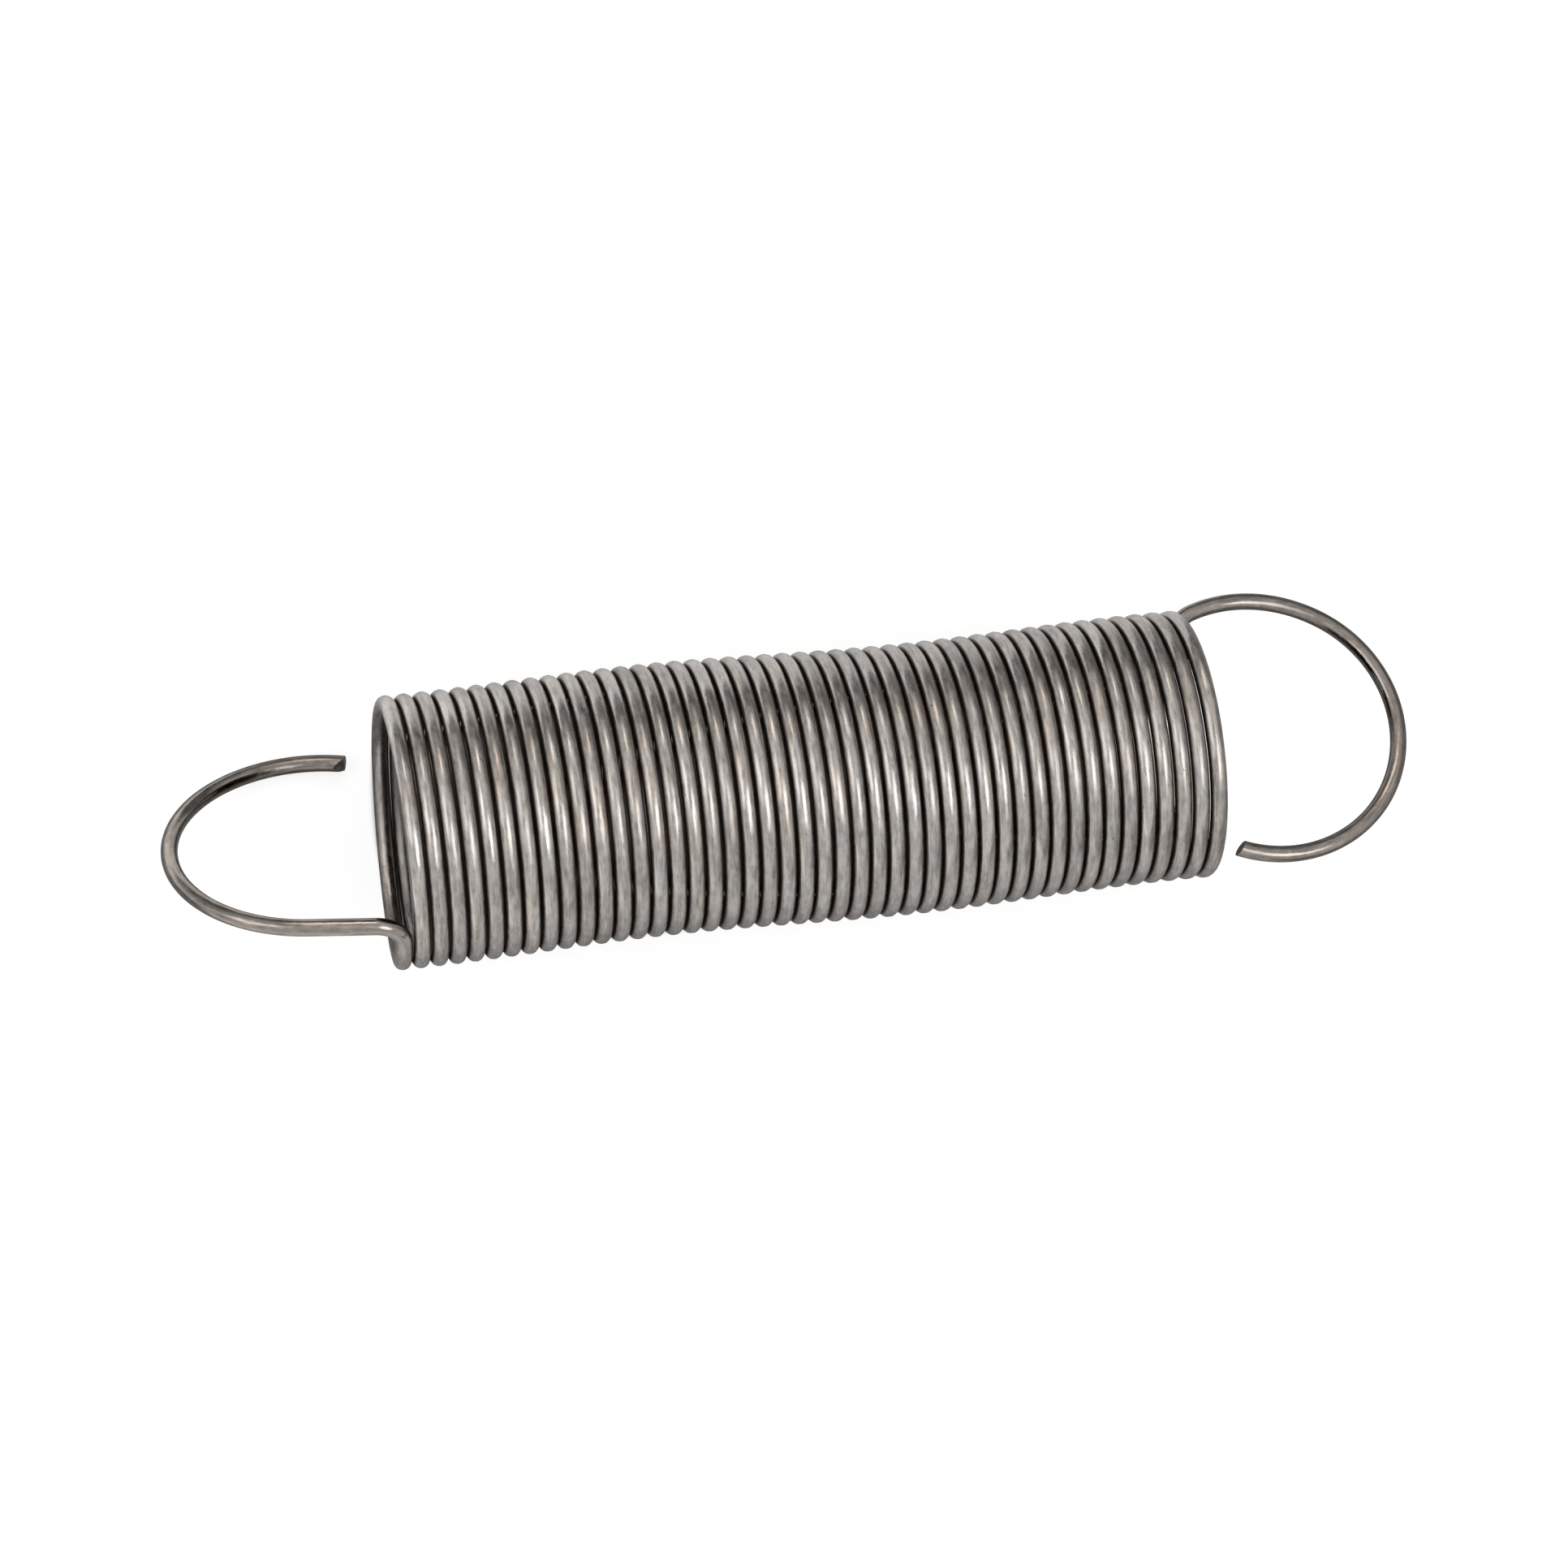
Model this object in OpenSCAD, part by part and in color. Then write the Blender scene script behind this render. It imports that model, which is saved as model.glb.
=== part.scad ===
/* [Wire] */
// Diameter of the spring wire
wire_d = 1.0; // [0.6:0.05:1.4]

/* [Coil] */
// Outside diameter of the coil
coil_od = 16.0; // [13:0.5:22]
// Turns of wire between the two hook bends, in half turns
turns = 45.5; // [12.5:0.5:60.5]
// Air gap between one turn and the next
turn_gap = 0.065; // [0.03:0.005:0.3]
// Where the left hook leaves the coil, around the axis from straight up
start_angle = 70.5; // [0:0.5:359.5]

/* [Hooks] */
// Inside radius of the sharp bend between the coil and a hook
bend_inside_r = 0.65; // [0.4:0.05:1.2]
// Inside diameter of each hook's loop
loop_id = 15.2; // [12:0.1:19]

/* [Left hook] */
// Angle by which the neck leans away from the coil's axis
left_lean = -8.5; // [-15:0.5:35]
// Length of the straight neck between the bend and the loop
left_neck = 4.4; // [0.2:0.1:5]
// Angle by which the loop's plane misses the coil's axis
left_skew = 21.5; // [0:0.5:35]
// Distance along the axis from the coil's last joint to the cut end
left_gap = 1.4; // [1.3:0.1:4]

/* [Right hook] */
// Angle by which the neck leans away from the coil's axis
right_lean = 31; // [-15:0.5:35]
// Length of the straight neck between the bend and the loop
right_neck = 0.3; // [0.2:0.1:5]
// Angle by which the loop's plane misses the coil's axis
right_skew = 15.5; // [0:0.5:35]
// Distance along the axis from the coil's last joint to the cut end
right_gap = 2.0; // [1.3:0.1:4]

/* [Hidden] */

wire_sides = 16;
turn_sides = 60;
wire_colour = [0.56, 0.54, 0.52];

// Radii and lengths along the centre line of the wire
coil_r = (coil_od - wire_d) / 2;
bend_r = bend_inside_r + wire_d / 2;
loop_r = (loop_id + wire_d) / 2;
pitch = wire_d + turn_gap;
half_turns = round(2 * turns);
coil_length = half_turns * pitch / 2;

// Each half turn is a flat arc, leaning this far so that two of them advance one pitch
half_turn_lean = asin(pitch / (4 * coil_r));

// The frame of a length of wire has the wire running along +Y from the origin,
// the coil's axis towards -X, and the outward end of the spring towards +Z.

// A length of wire bent in an arc towards -X
module bent_wire(r, sweep) {
    translate([-r, 0, 0])
        rotate_extrude(angle = sweep, $fn = turn_sides)
            translate([r, 0])
                circle(d = wire_d, $fn = wire_sides);
}

// A length of straight wire
module straight_wire(length) {
    rotate([-90, 0, 0])
        cylinder(d = wire_d, h = length, $fn = wire_sides);
}

// Moves its children to the far end of an arc of wire
module after_bend(r, sweep) {
    translate([-r, 0, 0])
        rotate([0, 0, sweep])
            translate([r, 0, 0])
                children();
}

// Moves its children on by a number of half turns of the coil
module after_half_turns(count) {
    if (count > 0)
        rotate([0, half_turn_lean, 0])
            after_bend(coil_r, 180)
                rotate([0, half_turn_lean, 0])
                    after_half_turns(count - 1)
                        children();
    else
        children();
}

// The coil: half turns that meet end to end, each with its face on the last one's
module coil() {
    for (i = [0 : half_turns - 1])
        after_half_turns(i)
            rotate([0, half_turn_lean, 0])
                bent_wire(coil_r, 180);
}

// How far a loop goes round before its cut end comes this close to the coil
function loop_sweep(lean, neck, skew, gap) =
    let (
        out = cos(lean),
        across = sin(lean) * cos(skew),
        level = (gap - (bend_r + neck) * out) / loop_r - across
    )
    180 + atan2(across, out) - asin(level / norm([out, across]));

// A hook: a sharp right-angle bend out of the coil, a short straight neck and an open loop
module hook(lean, neck, skew, gap) {
    rotate([0, 90 + lean, 0]) {
        bent_wire(bend_r, 90);
        after_bend(bend_r, 90) {
            straight_wire(neck);
            translate([0, neck, 0])
                rotate([0, skew - 90, 0])
                    bent_wire(loop_r, loop_sweep(lean, neck, skew, gap));
        }
    }
}

// The whole spring is one unbroken length of wire, lying on its side with the coil's axis along X
module spring_wire() {
    color(wire_colour)
        rotate([start_angle, 0, 0])
            translate([-coil_length / 2, 0, 0])
                rotate([0, 90, 0])
                    rotate([0, 0, 180])
                        translate([coil_r * cos(half_turn_lean), 0, 0])
                            union() {
                                coil();
                                rotate([180, 0, 0])
                                    hook(left_lean, left_neck, left_skew, left_gap);
                                after_half_turns(half_turns)
                                    hook(right_lean, right_neck, right_skew, right_gap);
                            }
}

spring_wire();
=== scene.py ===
"""Close-wound extension spring of drawn steel wire, lying on its side on a pale floor."""

import logging
import math
from dataclasses import dataclass
from enum import Enum
from typing import Optional, Union

import bmesh
import bpy
from mathutils import Euler, Matrix, Vector


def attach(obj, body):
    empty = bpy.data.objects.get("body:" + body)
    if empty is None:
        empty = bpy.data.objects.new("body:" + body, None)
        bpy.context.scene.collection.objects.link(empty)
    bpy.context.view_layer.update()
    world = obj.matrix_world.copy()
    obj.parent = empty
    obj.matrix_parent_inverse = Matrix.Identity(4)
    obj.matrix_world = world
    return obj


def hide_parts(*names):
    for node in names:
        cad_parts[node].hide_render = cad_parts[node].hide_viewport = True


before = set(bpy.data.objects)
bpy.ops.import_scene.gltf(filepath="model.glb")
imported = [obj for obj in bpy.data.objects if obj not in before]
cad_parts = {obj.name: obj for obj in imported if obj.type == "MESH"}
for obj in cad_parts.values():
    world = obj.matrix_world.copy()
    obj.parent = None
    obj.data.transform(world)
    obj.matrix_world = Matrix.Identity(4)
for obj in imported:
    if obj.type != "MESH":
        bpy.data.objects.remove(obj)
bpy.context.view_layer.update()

LOG = logging.getLogger("extension_spring")
MM = 0.001
WIRE_NODE = "spring_wire"
WIRE_SPACE = "wire_space"
CUT_FACE = "cut_face"

Socket = bpy.types.NodeSocket
Value = Union[float, int, bool, str, tuple, Socket]


class Graph:
    """A node tree with short calls that add nodes and join them."""

    def __init__(self, tree: bpy.types.NodeTree) -> None:
        """Keep the tree to build in."""
        self.tree = tree

    def add(self, kind: str, inputs: Optional[dict] = None, **settings: Value) -> bpy.types.Node:
        """Add one node.

        Args:
            kind: the node's type identifier.
            inputs: a value or a socket for each input, by the input's name or number.
            settings: the node's own properties.

        Returns:
            The new node.
        """
        node = self.tree.nodes.new(kind)
        for name, setting in settings.items():
            setattr(node, name, setting)
        for key, value in (inputs or {}).items():
            self.feed(node.inputs[key], value)
        return node

    def feed(self, socket: Socket, value: Value) -> None:
        """Join a socket to another one, or give it a plain value."""
        if isinstance(value, Socket):
            self.tree.links.new(value, socket)
        else:
            socket.default_value = value

    def math(self, operation: str, *values: Value) -> Socket:
        """Add a Math node and return its number."""
        return self.add("ShaderNodeMath", dict(enumerate(values)), operation=operation).outputs[0]

    def vector(self, operation: str, *values: Value) -> Socket:
        """Add a Vector Math node and return its vector."""
        return self.add("ShaderNodeVectorMath", dict(enumerate(values)), operation=operation).outputs[0]

    def dot(self, first: Value, second: Value) -> Socket:
        """Add a dot product and return its number."""
        node = self.add("ShaderNodeVectorMath", {0: first, 1: second}, operation="DOT_PRODUCT")
        return node.outputs["Value"]

    def xyz(self, x: Value, y: Value, z: Value) -> Socket:
        """Join three numbers into a vector."""
        return self.add("ShaderNodeCombineXYZ", {0: x, 1: y, 2: z}).outputs[0]

    def parts(self, vector: Value) -> tuple:
        """Split a vector into its three numbers."""
        return tuple(self.add("ShaderNodeSeparateXYZ", {0: vector}).outputs)

    def ramp(self, value: Value, low: Value, high: Value) -> Socket:
        """Ease a number from 0 at low to 1 at high, where low may be the larger."""
        sockets = {"Value": value, "From Min": low, "From Max": high}
        return self.add("ShaderNodeMapRange", sockets, interpolation_type="SMOOTHSTEP").outputs["Result"]

    def blend(self, share: Value, first: Value, second: Value) -> Socket:
        """Mix two colours, with share 0 for the first and 1 for the second."""
        node = self.add("ShaderNodeMix", {0: share, 6: first, 7: second}, data_type="RGBA")
        return node.outputs[2]

    def noise(self, place: Value, scale: float, detail: float = 2.0, rough: float = 0.5) -> Socket:
        """Add a three-dimensional noise and return its number."""
        sockets = {"Vector": place, "Scale": scale, "Detail": detail, "Roughness": rough}
        return self.add("ShaderNodeTexNoise", sockets).outputs[0]


def new_group(name: str, kind: str, inputs: dict, outputs: dict) -> tuple:
    """Make an empty node group with named sockets.

    Args:
        name: the group's name.
        kind: the tree's type identifier.
        inputs: the type of each input socket, by its name.
        outputs: the type of each output socket, by its name.

    Returns:
        The tree, its graph, and the sockets of its Group Input by name.
    """
    tree = bpy.data.node_groups.new(name, kind)
    for way, sockets in (("INPUT", inputs), ("OUTPUT", outputs)):
        for label, socket_type in sockets.items():
            tree.interface.new_socket(label, in_out=way, socket_type=socket_type)
    graph = Graph(tree)
    return tree, graph, graph.add("NodeGroupInput").outputs


FLOAT = "NodeSocketFloat"
INTEGER = "NodeSocketInt"
VECTOR = "NodeSocketVector"
COLOUR = "NodeSocketColor"
PLACE = "NodeSocketMatrix"
GEOMETRY = "NodeSocketGeometry"
MATERIAL = "NodeSocketMaterial"


@dataclass(frozen=True)
class Bend:
    """A length of wire bent to one radius.

    The roll turns the bend's plane about the wire, from the plane of the length before it.
    """

    radius: float
    sweep: float
    roll: float
    steps: int


@dataclass(frozen=True)
class CutFace:
    """One flat face that the cutters left on an end of the wire.

    The wire is wound a little too long, and the face's middle stands back from its tip. Its normal is
    the wire's own outward direction with the lean added.
    """

    back: float
    lean: tuple


@dataclass(frozen=True)
class SpringWire:
    """The spring's one length of wire: a long coil with an open hook bent from each end.

    Lengths are in millimetres and angles in degrees.
    """

    wire_d: float = 1.0
    coil_r: float = 7.5
    pitch: float = 1.06514
    turns: float = 45.4975
    start_x: float = -24.130
    start_angle: float = 68.63
    sway: float = 0.165
    sway_length: float = 29.6
    sway_start: float = -23.0
    uneven: float = 0.05
    uneven_scale: float = 0.31
    sides: int = 24
    steps_per_turn: int = 60
    cut_reach: float = 1.5
    cut_rim: float = 0.025
    left_hook: tuple = (
        Bend(1.571, 90.55, 82.91, 20),
        Bend(300.0, 0.75, -62.31, 6),
        Bend(8.224, 92.75, -6.43, 40),
        Bend(8.347, 99.80, -0.79, 44),
    )
    right_hook: tuple = (
        Bend(1.15, 75.24, 140.11, 20),
        Bend(1.751, 31.20, -62.96, 12),
        Bend(8.808, 54.40, -18.69, 26),
        Bend(8.088, 172.20, 5.07, 72),
    )
    left_cuts: tuple = (CutFace(0.24, (0.0, 0.0, 0.0)), CutFace(0.17, (-0.386, -1.017, 0.531)))
    right_cuts: tuple = (CutFace(0.35, (0.096, 0.20, 0.20)),)

    def turn_length(self) -> float:
        """Give the length of wire in one turn of the coil."""
        return math.hypot(math.tau * self.coil_r, self.pitch)

    def coil_group(self) -> bpy.types.NodeTree:
        """Build the group that tells where the wire is, and how it runs, at any turn of the coil."""
        sizes = ("Turn", "Coil Radius", "Pitch", "Start X", "Start Angle", "Sway", "Uneven")
        tree, g, given = new_group(
            "coil_turn", "GeometryNodeTree", dict.fromkeys(sizes, FLOAT), {"Place": PLACE, "Station": FLOAT}
        )
        turn = given["Turn"]
        x = g.math("ADD", given["Start X"], g.math("MULTIPLY", given["Pitch"], turn))
        wave = g.math("MULTIPLY", g.math("SUBTRACT", x, self.sway_start * MM), math.tau / (self.sway_length * MM))
        side = g.math("MULTIPLY", g.math("COSINE", wave), g.math("MULTIPLY", given["Sway"], -1.0))
        waver = g.add("ShaderNodeTexNoise", {"W": turn, "Scale": self.uneven_scale}, noise_dimensions="1D")
        shift = g.math("MULTIPLY", g.math("SUBTRACT", waver.outputs[0], 0.5), given["Uneven"])
        angle = g.math("ADD", given["Start Angle"], g.math("MULTIPLY", turn, math.tau))
        lean = g.math("ARCTAN2", given["Pitch"], g.math("MULTIPLY", given["Coil Radius"], math.tau))
        about_axis = g.add(
            "FunctionNodeCombineTransform",
            {
                "Translation": g.xyz(g.math("ADD", x, shift), side, 0.0),
                "Rotation": g.add("FunctionNodeEulerToRotation", {0: g.xyz(angle, 0.0, 0.0)}).outputs[0],
            },
        )
        out_to_wire = g.add(
            "FunctionNodeCombineTransform",
            {
                "Translation": g.xyz(0.0, 0.0, given["Coil Radius"]),
                "Rotation": g.add(
                    "FunctionNodeEulerToRotation", {0: g.xyz(lean, -math.pi / 2, math.pi)}
                ).outputs[0],
            },
        )
        place = g.add("FunctionNodeMatrixMultiply", {0: about_axis.outputs[0], 1: out_to_wire.outputs[0]})
        rise = g.math("DIVIDE", given["Pitch"], math.tau)
        per_radian = g.math("SQRT", g.math("ADD", g.math("POWER", rise, 2.0), g.math("POWER", given["Coil Radius"], 2.0)))
        station = g.math("MULTIPLY", g.math("MULTIPLY", turn, math.tau), per_radian)
        g.add("NodeGroupOutput", {"Place": place.outputs[0], "Station": station})
        return tree

    @staticmethod
    def bend_group() -> bpy.types.NodeTree:
        """Build the group that carries the wire on through one bend.

        In a place's own axes the wire runs along +Y, and the bend's centre lies towards -X.
        """
        tree, g, given = new_group(
            "wire_bend",
            "GeometryNodeTree",
            {
                "Place": PLACE,
                "Roll": FLOAT,
                "Radius": FLOAT,
                "Sweep": FLOAT,
                "Steps": INTEGER,
                "Station": FLOAT,
                "Way": FLOAT,
            },
            {"Points": GEOMETRY, "Place": PLACE, "Station": FLOAT},
        )

        def along(angle: Value) -> Socket:
            """Give the point of the bend at an angle from its start."""
            x = g.math("MULTIPLY", g.math("SUBTRACT", g.math("COSINE", angle), 1.0), given["Radius"])
            return g.xyz(x, g.math("MULTIPLY", g.math("SINE", angle), given["Radius"]), 0.0)

        def station(angle: Value) -> Socket:
            """Give the length of wire up to an angle from the bend's start."""
            length = g.math("MULTIPLY", g.math("MULTIPLY", angle, given["Radius"]), given["Way"])
            return g.math("ADD", given["Station"], length)

        roll = g.add("FunctionNodeEulerToRotation", {0: g.xyz(0.0, given["Roll"], 0.0)}).outputs[0]
        rolled = g.add(
            "FunctionNodeMatrixMultiply",
            {0: given["Place"], 1: g.add("FunctionNodeCombineTransform", {"Rotation": roll}).outputs[0]},
        ).outputs[0]
        step = g.math("DIVIDE", g.math("ADD", g.add("GeometryNodeInputIndex").outputs[0], 1.0), given["Steps"])
        angle = g.math("MULTIPLY", given["Sweep"], step)
        spot = g.add("FunctionNodeTransformPoint", {0: along(angle), 1: rolled}).outputs[0]
        points = g.add("GeometryNodePoints", {"Count": given["Steps"], "Position": spot}).outputs[0]
        marked = g.add(
            "GeometryNodeStoreNamedAttribute",
            {"Geometry": points, "Name": "station", "Value": station(angle)},
            data_type="FLOAT",
            domain="POINT",
        )
        turn = g.add("FunctionNodeEulerToRotation", {0: g.xyz(0.0, 0.0, given["Sweep"])}).outputs[0]
        onward = g.add(
            "FunctionNodeCombineTransform", {"Translation": along(given["Sweep"]), "Rotation": turn}
        ).outputs[0]
        beyond = g.add("FunctionNodeMatrixMultiply", {0: rolled, 1: onward}).outputs[0]
        g.add(
            "NodeGroupOutput",
            {"Points": marked.outputs[0], "Place": beyond, "Station": station(given["Sweep"])},
        )
        return tree

    def hook_points(self, g: Graph, bends: tuple, place: Socket, station: Socket, way: float) -> list:
        """Chain the bends of one hook.

        Args:
            g: the wire's graph.
            bends: the hook's bends, from the coil outwards.
            place: where the coil's wire ends, facing out.
            station: the station at that end.
            way: 1 where stations grow outwards, or -1.

        Returns:
            The points of each bend.
        """
        points = []
        group = self.bend_group()
        for bend in bends:
            node = g.add("GeometryNodeGroup", node_tree=group)
            sizes = {
                "Place": place,
                "Roll": math.radians(bend.roll),
                "Radius": bend.radius * MM,
                "Sweep": math.radians(bend.sweep),
                "Steps": bend.steps,
                "Station": station,
                "Way": way,
            }
            for name, value in sizes.items():
                g.feed(node.inputs[name], value)
            points.append(node.outputs["Points"])
            place = node.outputs["Place"]
            station = node.outputs["Station"]
        return points

    @staticmethod
    def stored(g: Graph, name: str, kind: str) -> Socket:
        """Read a named attribute."""
        node = g.add("GeometryNodeInputNamedAttribute", {"Name": name}, data_type=kind)
        return node.outputs["Attribute"]

    @staticmethod
    def store(g: Graph, geometry: Socket, name: str, kind: str, value: Value, domain: str = "POINT") -> Socket:
        """Store a named attribute and return the geometry."""
        node = g.add("GeometryNodeStoreNamedAttribute", data_type=kind, domain=domain)
        g.feed(node.inputs["Geometry"], geometry)
        g.feed(node.inputs["Name"], name)
        g.feed(node.inputs["Value"], value)
        return node.outputs[0]

    def tree(self) -> bpy.types.NodeTree:
        """Build the tree that winds the wire."""
        lengths = ("Wire Diameter", "Coil Radius", "Pitch", "Start X", "Start Angle", "Sway", "Uneven", "Turns")
        tree, g, given = new_group(
            "wound_wire",
            "GeometryNodeTree",
            {"Geometry": GEOMETRY, **dict.fromkeys(lengths, FLOAT), "Steel": MATERIAL},
            {"Geometry": GEOMETRY},
        )
        coil_group = self.coil_group()
        passed = ("Coil Radius", "Pitch", "Start X", "Start Angle", "Sway", "Uneven")

        def at_turn(turn: Value) -> bpy.types.Node:
            """Place the wire at one turn of the coil."""
            node = g.add("GeometryNodeGroup", node_tree=coil_group)
            g.feed(node.inputs["Turn"], turn)
            for name in passed:
                g.feed(node.inputs[name], given[name])
            return node

        count = round(self.turns * self.steps_per_turn) + 1
        share = g.math("DIVIDE", g.add("GeometryNodeInputIndex").outputs[0], float(count - 1))
        coil = at_turn(g.math("MULTIPLY", given["Turns"], share))
        spot = g.add("FunctionNodeTransformPoint", {0: (0.0, 0.0, 0.0), 1: coil.outputs["Place"]}).outputs[0]
        points = g.add("GeometryNodePoints", {"Count": count, "Position": spot}).outputs[0]
        points = self.store(g, points, "station", "FLOAT", coil.outputs["Station"])

        first = at_turn(0.0)
        last = at_turn(given["Turns"])
        about = g.add("FunctionNodeCombineTransform", {"Rotation": Euler((math.pi, 0.0, 0.0))}).outputs[0]
        facing_out = g.add("FunctionNodeMatrixMultiply", {0: first.outputs["Place"], 1: about}).outputs[0]
        left = self.hook_points(g, self.left_hook, facing_out, first.outputs["Station"], -1.0)
        right = self.hook_points(g, self.right_hook, last.outputs["Place"], last.outputs["Station"], 1.0)
        joined = g.add("GeometryNodeJoinGeometry")
        for part in (points, *left, *right):
            g.tree.links.new(part, joined.inputs[0])
        curve = g.add(
            "GeometryNodePointsToCurves", {"Points": joined.outputs[0], "Weight": self.stored(g, "station", "FLOAT")}
        ).outputs[0]
        radius = g.math("MULTIPLY", given["Wire Diameter"], 0.5)
        section = g.add("GeometryNodeCurvePrimitiveCircle", {"Resolution": self.sides, "Radius": radius}).outputs[0]
        section = self.store(g, section, "around", "FLOAT_VECTOR", g.add("GeometryNodeInputPosition").outputs[0])
        skin = g.add(
            "GeometryNodeCurveToMesh", {"Curve": curve, "Profile Curve": section, "Fill Caps": True}
        ).outputs[0]
        station = self.stored(g, "station", "FLOAT")
        around = g.parts(self.stored(g, "around", "FLOAT_VECTOR"))
        skin = self.store(g, skin, WIRE_SPACE, "FLOAT_VECTOR", g.xyz(around[0], around[1], station))
        skin = g.add("GeometryNodeSetShadeSmooth", {"Geometry": skin, "Shade Smooth": True}).outputs[0]
        for name in ("station", "around"):
            skin = g.add("GeometryNodeRemoveAttribute", {"Geometry": skin, "Name": name}).outputs[0]
        real = g.add("GeometryNodeRealizeInstances", {0: skin}).outputs[0]
        dressed = g.add("GeometryNodeSetMaterial", {"Geometry": real, "Material": given["Steel"]}).outputs[0]
        g.add("NodeGroupOutput", {"Geometry": dressed})
        return tree

    def cut_ends(self, mesh: bpy.types.Mesh) -> None:
        """Cut the wire to its true length, and mark the faces that the cutters left."""
        wire = bmesh.new()
        wire.from_mesh(mesh)
        wire.faces.layers.float.new(CUT_FACE)
        tips = [(cap.calc_center_median(), cap.normal.copy()) for cap in wire.faces if len(cap.verts) > 4]
        tips.sort(key=lambda tip: tip[0].x)
        for tip, cuts in zip(tips, (self.left_cuts, self.right_cuts)):
            for cut in cuts:
                self.cut(wire, tip, cut)
        wire.to_mesh(mesh)
        wire.free()

    def cut(self, wire: bmesh.types.BMesh, tip: tuple, cut: CutFace) -> None:
        """Cut one flat face on an end of the wire.

        Args:
            wire: the wire's mesh.
            tip: the middle of the wire's tip, and the way it points.
            cut: the face to leave.
        """
        centre, out = tip
        space = wire.verts.layers.float_vector[WIRE_SPACE]
        stations = [vert[space].z for vert in wire.verts]
        end = min(stations) if centre.x < 0 else max(stations)
        near = {vert for vert in wire.verts if abs(vert[space].z - end) < self.cut_reach * MM}
        faces = {face for vert in near for face in vert.link_faces}
        edges = {edge for face in faces for edge in face.edges}
        verts = {vert for face in faces for vert in face.verts}
        made = bmesh.ops.bisect_plane(
            wire,
            geom=[*verts, *edges, *faces],
            dist=1e-7,
            plane_co=centre - out * cut.back * MM,
            plane_no=(out + Vector(cut.lean)).normalized(),
            clear_outer=True,
        )
        rim = [part for part in made["geom_cut"] if isinstance(part, bmesh.types.BMEdge)]
        mark = wire.faces.layers.float[CUT_FACE]
        for face in bmesh.ops.contextual_create(wire, geom=rim)["faces"]:
            face[mark] = 1.0
            face.smooth = False
            for edge in face.edges:
                edge.smooth = False

    def build(self, steel: bpy.types.Material) -> bpy.types.Object:
        """Wind the wire and turn it into a plain mesh.

        Args:
            steel: the wire's material.

        Returns:
            The finished piece.
        """
        tree = self.tree()
        carrier = bpy.data.objects.new("wire_carrier", bpy.data.meshes.new("wire_carrier"))
        bpy.context.scene.collection.objects.link(carrier)
        winding = carrier.modifiers.new("winding", "NODES")
        winding.node_group = tree
        values = {
            "Wire Diameter": self.wire_d * MM,
            "Coil Radius": self.coil_r * MM,
            "Pitch": self.pitch * MM,
            "Start X": self.start_x * MM,
            "Start Angle": math.radians(self.start_angle),
            "Sway": self.sway * MM,
            "Uneven": self.uneven * MM,
            "Turns": self.turns,
            "Steel": steel,
        }
        for item in tree.interface.items_tree:
            if item.in_out == "INPUT" and item.name in values:
                winding[item.identifier] = values[item.name]
        graph = bpy.context.evaluated_depsgraph_get()
        mesh = bpy.data.meshes.new_from_object(carrier.evaluated_get(graph), depsgraph=graph)
        mesh.name = "wound_wire"
        bpy.data.objects.remove(carrier)
        self.cut_ends(mesh)
        piece = bpy.data.objects.new("wound_wire", mesh)
        bpy.context.scene.collection.objects.link(piece)
        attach(piece, "root")
        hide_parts(WIRE_NODE)
        return piece


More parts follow.
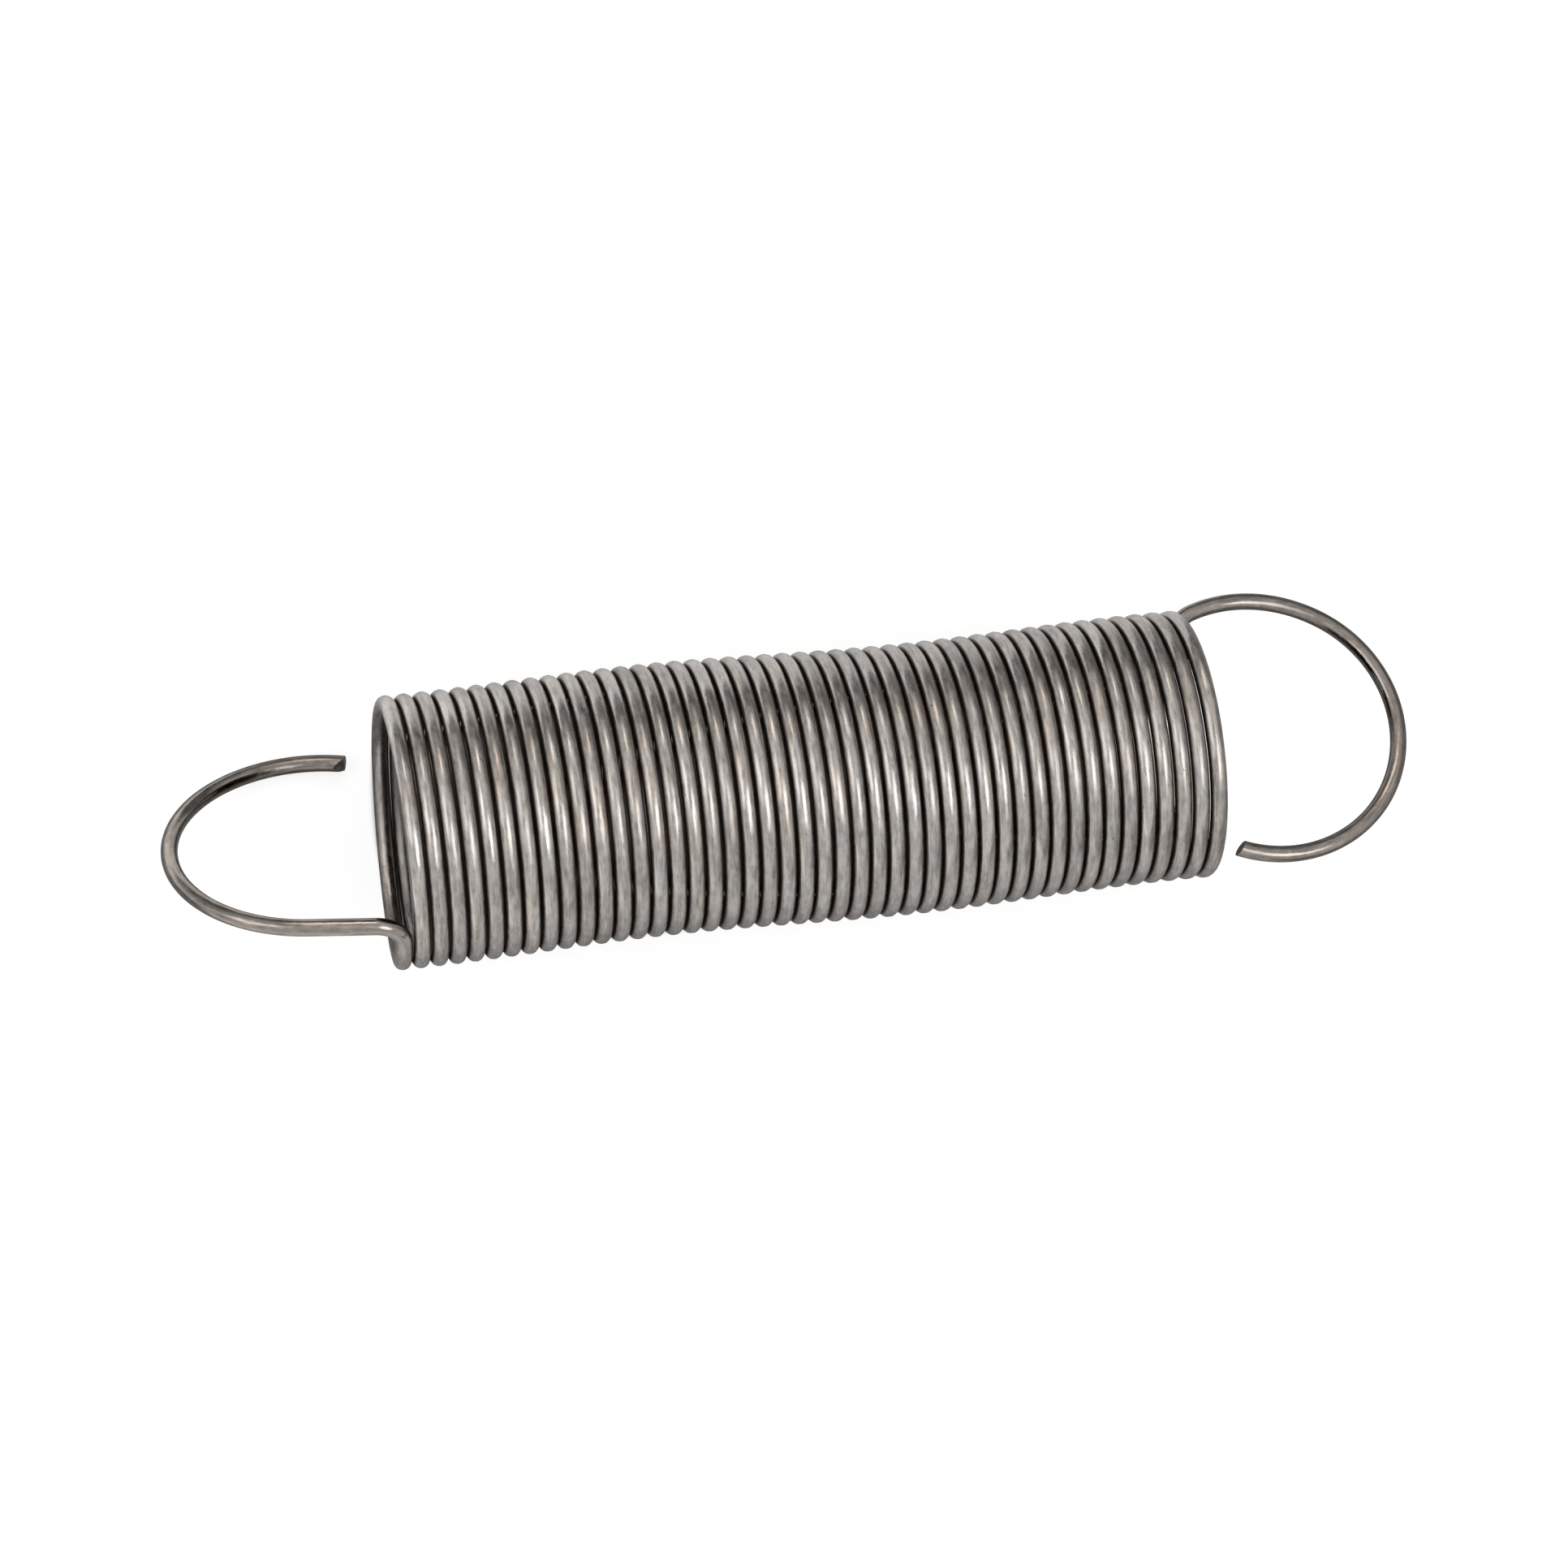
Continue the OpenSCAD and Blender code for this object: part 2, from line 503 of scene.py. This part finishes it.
@dataclass(frozen=True)
class DrawnSteel:
    """The finish of the wire: bare drawn steel with streaks along it, and painted shade in dark brown between the
    turns and inside the coil.
    """

    cool: tuple = (0.395, 0.381, 0.370, 1.0)
    warm: tuple = (0.405, 0.369, 0.338, 1.0)
    stain: tuple = (0.27, 0.225, 0.19, 1.0)
    hook: tuple = (0.262, 0.233, 0.210, 1.0)
    painted_gap_shade: tuple = (0.046, 0.028, 0.019, 1.0)
    cut: tuple = (0.30, 0.245, 0.20, 1.0)
    roughness: float = 0.27
    hook_roughness: float = 0.15

    def marks_group(self) -> bpy.types.NodeTree:
        """Build the group of marks that drawing and pickling leave on wire."""
        tree, g, given = new_group(
            "drawn_marks",
            "ShaderNodeTree",
            {"Wire Space": VECTOR},
            {"Streaks": FLOAT, "Mottle": FLOAT, "Stain": FLOAT, "Pits": FLOAT, "Drift": FLOAT, "Tint": FLOAT},
        )
        wire_space = given["Wire Space"]
        streaks = g.noise(g.vector("MULTIPLY", wire_space, (1.0, 1.0, 0.08)), 7000.0, 4.0, 0.68)
        mottle = g.noise(g.vector("MULTIPLY", wire_space, (1.0, 1.0, 0.40)), 3600.0, 3.0, 0.6)
        stain = g.noise(g.vector("MULTIPLY", wire_space, (1.0, 1.0, 0.12)), 1700.0, 3.0, 0.6)
        pits = g.noise(g.vector("MULTIPLY", wire_space, (1.0, 1.0, 0.45)), 4600.0, 1.0, 0.5)
        drift = g.noise(g.vector("MULTIPLY", wire_space, (0.2, 0.2, 1.0)), 80.0, 2.0, 0.6)
        tint = g.noise(g.vector("MULTIPLY", wire_space, (1.0, 1.0, 0.30)), 1500.0, 2.0, 0.6)
        g.add(
            "NodeGroupOutput",
            {
                "Streaks": streaks,
                "Mottle": mottle,
                "Stain": g.ramp(stain, 0.46, 0.70),
                "Pits": g.ramp(pits, 0.70, 0.80),
                "Drift": g.math("SUBTRACT", drift, 0.5),
                "Tint": g.ramp(tint, 0.35, 0.65),
            },
        )
        return tree

    def gap_group(self, wire: SpringWire) -> bpy.types.NodeTree:
        """Build the group that paints shade where one turn faces the next and inside the coil, and finds where the
        hooks are.
        """
        tree, g, given = new_group(
            "between_turns", "ShaderNodeTree", {"Position": VECTOR, "Station": FLOAT}, {"Gap Shade": FLOAT, "Hook": FLOAT}
        )
        one_turn = wire.turn_length() * MM
        whole = one_turn * wire.turns
        station = given["Station"]
        centre_x = g.math("ADD", wire.start_x * MM, g.math("MULTIPLY", station, wire.pitch * MM / one_turn))
        beside = g.math("SUBTRACT", g.parts(given["Position"])[0], centre_x)
        side = g.math("DIVIDE", g.math("ABSOLUTE", beside), wire.wire_d * MM / 2)
        to_left = g.math("LESS_THAN", beside, 0.0)
        from_end = g.math(
            "ADD",
            g.math("MULTIPLY", to_left, station),
            g.math("MULTIPLY", g.math("SUBTRACT", 1.0, to_left), g.math("SUBTRACT", whole, station)),
        )
        covered = g.ramp(from_end, 0.97 * one_turn, 1.03 * one_turn)
        middle = whole / 2
        hook = g.ramp(g.math("ABSOLUTE", g.math("SUBTRACT", station, middle)), middle - 2 * MM, middle + 3 * MM)
        from_ends = g.math("SUBTRACT", middle, g.math("ABSOLUTE", g.math("SUBTRACT", station, middle)))
        # Painted shade on the coil's inside, except within about a turn and a half of either end.
        _, y, z = g.parts(given["Position"])
        from_axis = g.math("SQRT", g.math("ADD", g.math("POWER", y, 2.0), g.math("POWER", z, 2.0)))
        inner_shade = g.ramp(from_axis, wire.coil_r * MM, (wire.coil_r - 0.3) * MM)
        inner_shade = g.math("MULTIPLY", inner_shade, g.math("MULTIPLY", g.ramp(from_ends, 1.15 * one_turn, 1.45 * one_turn), 0.7))
        # Painted shade: the colour darkens towards the flanks where one turn faces the next, and on the coil's inside.
        gap_shade = g.math("MAXIMUM", g.math("MULTIPLY", g.ramp(side, 0.71, 0.93), covered), inner_shade)
        g.add("NodeGroupOutput", {"Gap Shade": gap_shade, "Hook": hook})
        return tree

    def material(self, wire: SpringWire) -> bpy.types.Material:
        """Build the material for a wire."""
        steel = bpy.data.materials.new("drawn_steel")
        steel.use_nodes = True
        steel.node_tree.nodes.clear()
        g = Graph(steel.node_tree)
        wire_space = g.add("ShaderNodeAttribute", attribute_name=WIRE_SPACE).outputs["Vector"]
        cut = g.add("ShaderNodeAttribute", attribute_name=CUT_FACE).outputs["Fac"]
        place = g.add("ShaderNodeTexCoord").outputs["Object"]
        marks = g.add("ShaderNodeGroup", node_tree=self.marks_group())
        g.feed(marks.inputs["Wire Space"], wire_space)
        gaps = g.add("ShaderNodeGroup", node_tree=self.gap_group(wire))
        g.feed(gaps.inputs["Position"], place)
        g.feed(gaps.inputs["Station"], g.parts(wire_space)[2])
        streaks = g.math("SUBTRACT", marks.outputs["Streaks"], 0.5)
        mottle = g.math("SUBTRACT", marks.outputs["Mottle"], 0.5)
        tone = g.blend(marks.outputs["Tint"], self.cool, self.warm)
        tone = g.blend(g.math("MULTIPLY", marks.outputs["Stain"], 0.45), tone, self.stain)
        tone = g.blend(gaps.outputs["Hook"], tone, self.hook)
        tone = g.blend(cut, tone, self.cut)
        drift = marks.outputs["Drift"]
        lift = g.math("ADD", g.math("MULTIPLY", streaks, 1.3), g.math("MULTIPLY", mottle, 1.1))
        lift = g.math("ADD", lift, g.math("MULTIPLY", drift, 1.05))
        lift = g.math("SUBTRACT", g.math("ADD", lift, 1.0), g.math("MULTIPLY", marks.outputs["Pits"], 0.30))
        tone = g.add("ShaderNodeVectorMath", {0: tone, "Scale": lift}, operation="SCALE").outputs[0]
        # Painted shade between the turns and inside the coil, tinted the dark brown of the residue between the turns.
        tone = g.blend(g.math("MULTIPLY", gaps.outputs["Gap Shade"], 0.97), tone, self.painted_gap_shade)
        smoother = g.math("MULTIPLY", gaps.outputs["Hook"], self.roughness - self.hook_roughness)
        rough = g.math("ADD", g.math("SUBTRACT", self.roughness, smoother), g.math("MULTIPLY", mottle, 0.35))
        rough = g.math("SUBTRACT", rough, g.math("MULTIPLY", drift, 0.50))
        rough = g.math("ADD", rough, g.math("MULTIPLY", g.math("MAXIMUM", cut, marks.outputs["Stain"]), 0.08))
        rough = g.math("ADD", rough, g.math("MULTIPLY", gaps.outputs["Gap Shade"], 0.30))
        height = g.math("ADD", streaks, g.math("MULTIPLY", mottle, 0.8))
        height = g.math("SUBTRACT", height, g.math("MULTIPLY", marks.outputs["Pits"], 0.6))
        bump = g.add("ShaderNodeBump", {"Height": height, "Strength": 0.55, "Distance": 0.02 * MM})
        shader = g.add(
            "ShaderNodeBsdfPrincipled",
            {"Base Color": tone, "Metallic": 1.0, "Roughness": rough, "Normal": bump.outputs[0]},
        )
        g.add("ShaderNodeOutputMaterial", {"Surface": shader.outputs[0]})
        return steel


@dataclass(frozen=True)
class Lamp:
    """A soft square lamp, placed by its direction from the spring."""

    name: str
    towards: tuple
    distance: float
    size: float
    power: float
    colour: tuple = (1.0, 1.0, 1.0)

    def build(self) -> None:
        """Add the lamp, aimed at the spring."""
        data = bpy.data.lights.new(self.name, "AREA")
        data.shape = "DISK"
        data.size = self.size
        data.energy = self.power
        data.color = self.colour
        lamp = bpy.data.objects.new(self.name, data)
        direction = Vector(self.towards).normalized()
        lamp.location = direction * self.distance
        lamp.rotation_euler = direction.to_track_quat("Z", "Y").to_euler()
        bpy.context.scene.collection.objects.link(lamp)


@dataclass(frozen=True)
class Studio:
    """The pale floor with its painted shadow and painted reflection glow, the white background and the soft lamps."""

    floor_size: float = 1.6
    floor_z: float = -8.0
    floor_tone: tuple = (0.3, 0.3, 0.3, 1.0)
    seen_glow: float = 0.78
    front_glow: float = 0.52
    back_glow: float = 0.66
    glow_edge: float = 6.0
    painted_shade_near: tuple = (7.0, 20.0)
    painted_shade_right: tuple = (36.0, 27.0)
    glow_left: tuple = (24.0, 34.0)
    left_glow: float = 1.7
    shade_centre: tuple = (1.25, 1.8)
    shade: tuple = (25.75, 8.2)
    shade_edge: float = 0.6
    shade_bulge: float = 1.3
    room: float = 1.17
    dark_side: tuple = (0.407, 0.914, 0.0)
    dark_room: float = 0.29
    lamps: tuple = (
        Lamp("key", (0.31, -0.43, 0.85), 0.6, 0.38, 0.90),
        Lamp("warm", (-0.04, 0.66, 0.75), 0.6, 0.20, 0.25, (1.0, 0.84, 0.68)),
        Lamp("fill", (-0.68, -0.02, 0.73), 0.6, 0.40, 0.55),
    )

    def floor(self) -> None:
        """Lay the floor, which shows white to the camera and keeps the spring's shadow, with a painted shadow under
        the coil and a painted glow that only the metal sees.
        """
        half = self.floor_size / 2
        corners = [(x, y, self.floor_z * MM) for x, y in ((-half, -half), (half, -half), (half, half), (-half, half))]
        mesh = bpy.data.meshes.new("floor")
        mesh.from_pydata(corners, [], [(0, 1, 2, 3)])
        material = bpy.data.materials.new("pale_floor")
        material.use_nodes = True
        material.node_tree.nodes.clear()
        g = Graph(material.node_tree)
        path = g.add("ShaderNodeLightPath").outputs
        x, y, _ = g.parts(g.add("ShaderNodeTexCoord").outputs["Object"])
        # Painted shadow: to the camera the floor's glow fades out in a strip with rounded ends under the coil, so no
        # light shows between the turns.
        off_x = g.math("ABSOLUTE", g.math("SUBTRACT", x, self.shade_centre[0] * MM))
        off_y = g.math("ABSOLUTE", g.math("SUBTRACT", y, self.shade_centre[1] * MM))
        rounding = g.math("POWER", g.math("DIVIDE", off_y, self.shade[1] * MM), 2.0)
        off_x = g.math("ADD", off_x, g.math("MULTIPLY", rounding, self.shade_bulge * MM))
        lit = 0.0
        for off, reach in zip((off_x, off_y), self.shade):
            lit = g.math("MAXIMUM", g.ramp(off, (reach - self.shade_edge) * MM, reach * MM), lit)
        # Painted reflection: to the metal the floor glows, less in front than behind, with painted shade next to the
        # coil and past its right end, and brighter to the left.
        behind = g.ramp(y, -self.glow_edge * MM, self.glow_edge * MM)
        painted_reflection = g.math("ADD", self.front_glow, g.math("MULTIPLY", behind, self.back_glow - self.front_glow))
        painted_reflection = g.math("MULTIPLY", painted_reflection, g.ramp(g.math("ABSOLUTE", y), *(r * MM for r in self.painted_shade_near)))
        painted_reflection = g.math("MULTIPLY", painted_reflection, g.ramp(x, *(r * MM for r in self.painted_shade_right)))
        to_left = g.ramp(x, *(-r * MM for r in self.glow_left))
        painted_reflection = g.math("MULTIPLY", painted_reflection, g.math("ADD", 1.0, g.math("MULTIPLY", to_left, self.left_glow - 1.0)))
        in_metal = g.math("MAXIMUM", path["Is Glossy Ray"], path["Is Transmission Ray"])
        strength = g.math(
            "ADD",
            g.math("MULTIPLY", path["Is Camera Ray"], g.math("MULTIPLY", lit, self.seen_glow)),
            g.math("MULTIPLY", in_metal, painted_reflection),
        )
        matt = g.add("ShaderNodeBsdfDiffuse", {"Color": self.floor_tone})
        glow = g.add("ShaderNodeEmission", {"Strength": strength})
        both = g.add("ShaderNodeAddShader", {0: matt.outputs[0], 1: glow.outputs[0]})
        g.add("ShaderNodeOutputMaterial", {"Surface": both.outputs[0]})
        mesh.materials.append(material)
        floor = bpy.data.objects.new("floor", mesh)
        bpy.context.scene.collection.objects.link(floor)

    def background(self) -> None:
        """Make the room: white to the camera, pale to the metal, and darker low down behind."""
        world = bpy.data.worlds.new("studio")
        world.use_nodes = True
        world.node_tree.nodes.clear()
        g = Graph(world.node_tree)
        path = g.add("ShaderNodeLightPath").outputs
        way = g.add("ShaderNodeTexCoord").outputs["Generated"]
        side = g.dot(way, tuple(Vector(self.dark_side).normalized()))
        low = g.ramp(g.parts(way)[2], 0.9, 0.22)
        dark = g.math("MULTIPLY", g.ramp(side, -0.2, 0.75), low)
        soft = g.math("SUBTRACT", self.room, g.math("MULTIPLY", dark, self.room - self.dark_room))
        strength = g.math("ADD", soft, g.math("MULTIPLY", path["Is Camera Ray"], g.math("SUBTRACT", 1.0, soft)))
        glow = g.add("ShaderNodeBackground", {"Strength": strength})
        g.add("ShaderNodeOutputWorld", {"Surface": glow.outputs[0]})
        bpy.context.scene.world = world

    def build(self) -> None:
        """Build the whole studio."""
        self.floor()
        self.background()
        for lamp in self.lamps:
            lamp.build()


@dataclass(frozen=True)
class Viewpoint:
    """The camera, as the photograph was taken.

    Azimuth 0 looks along +Y, elevation is above the horizon, and roll turns the view clockwise.
    """

    azimuth: float = -35.102
    elevation: float = 74.731
    roll: float = 28.150
    distance: float = 296.44
    aim: tuple = (-0.634, 0.305, -0.031)
    lens: float = 115.79
    sensor: float = 36.0

    def build(self) -> None:
        """Add the camera and make it the scene's."""
        data = bpy.data.cameras.new("camera")
        data.lens = self.lens
        data.sensor_width = self.sensor
        data.clip_start = 0.01
        data.clip_end = 10.0
        azimuth = math.radians(self.azimuth)
        elevation = math.radians(self.elevation)
        back = Vector(
            (
                math.sin(azimuth) * math.cos(elevation),
                -math.cos(azimuth) * math.cos(elevation),
                math.sin(elevation),
            )
        )
        level = back.to_track_quat("Z", "Y").to_matrix()
        turned = level @ Matrix.Rotation(math.radians(self.roll), 3, "Z")
        camera = bpy.data.objects.new("camera", data)
        camera.matrix_world = Matrix.Translation((Vector(self.aim) + back * self.distance) * MM) @ turned.to_4x4()
        bpy.context.scene.collection.objects.link(camera)
        bpy.context.scene.camera = camera


def main() -> None:
    """Build the camera, the studio and the spring."""
    logging.basicConfig(level=logging.INFO, format="%(message)s")
    bpy.context.scene.view_settings.view_transform = "Standard"
    Viewpoint().build()
    Studio().build()
    wire = SpringWire()
    piece = wire.build(DrawnSteel().material(wire))
    LOG.info("%s: %d faces", piece.name, len(piece.data.polygons))


if __name__ == "__main__":
    main()
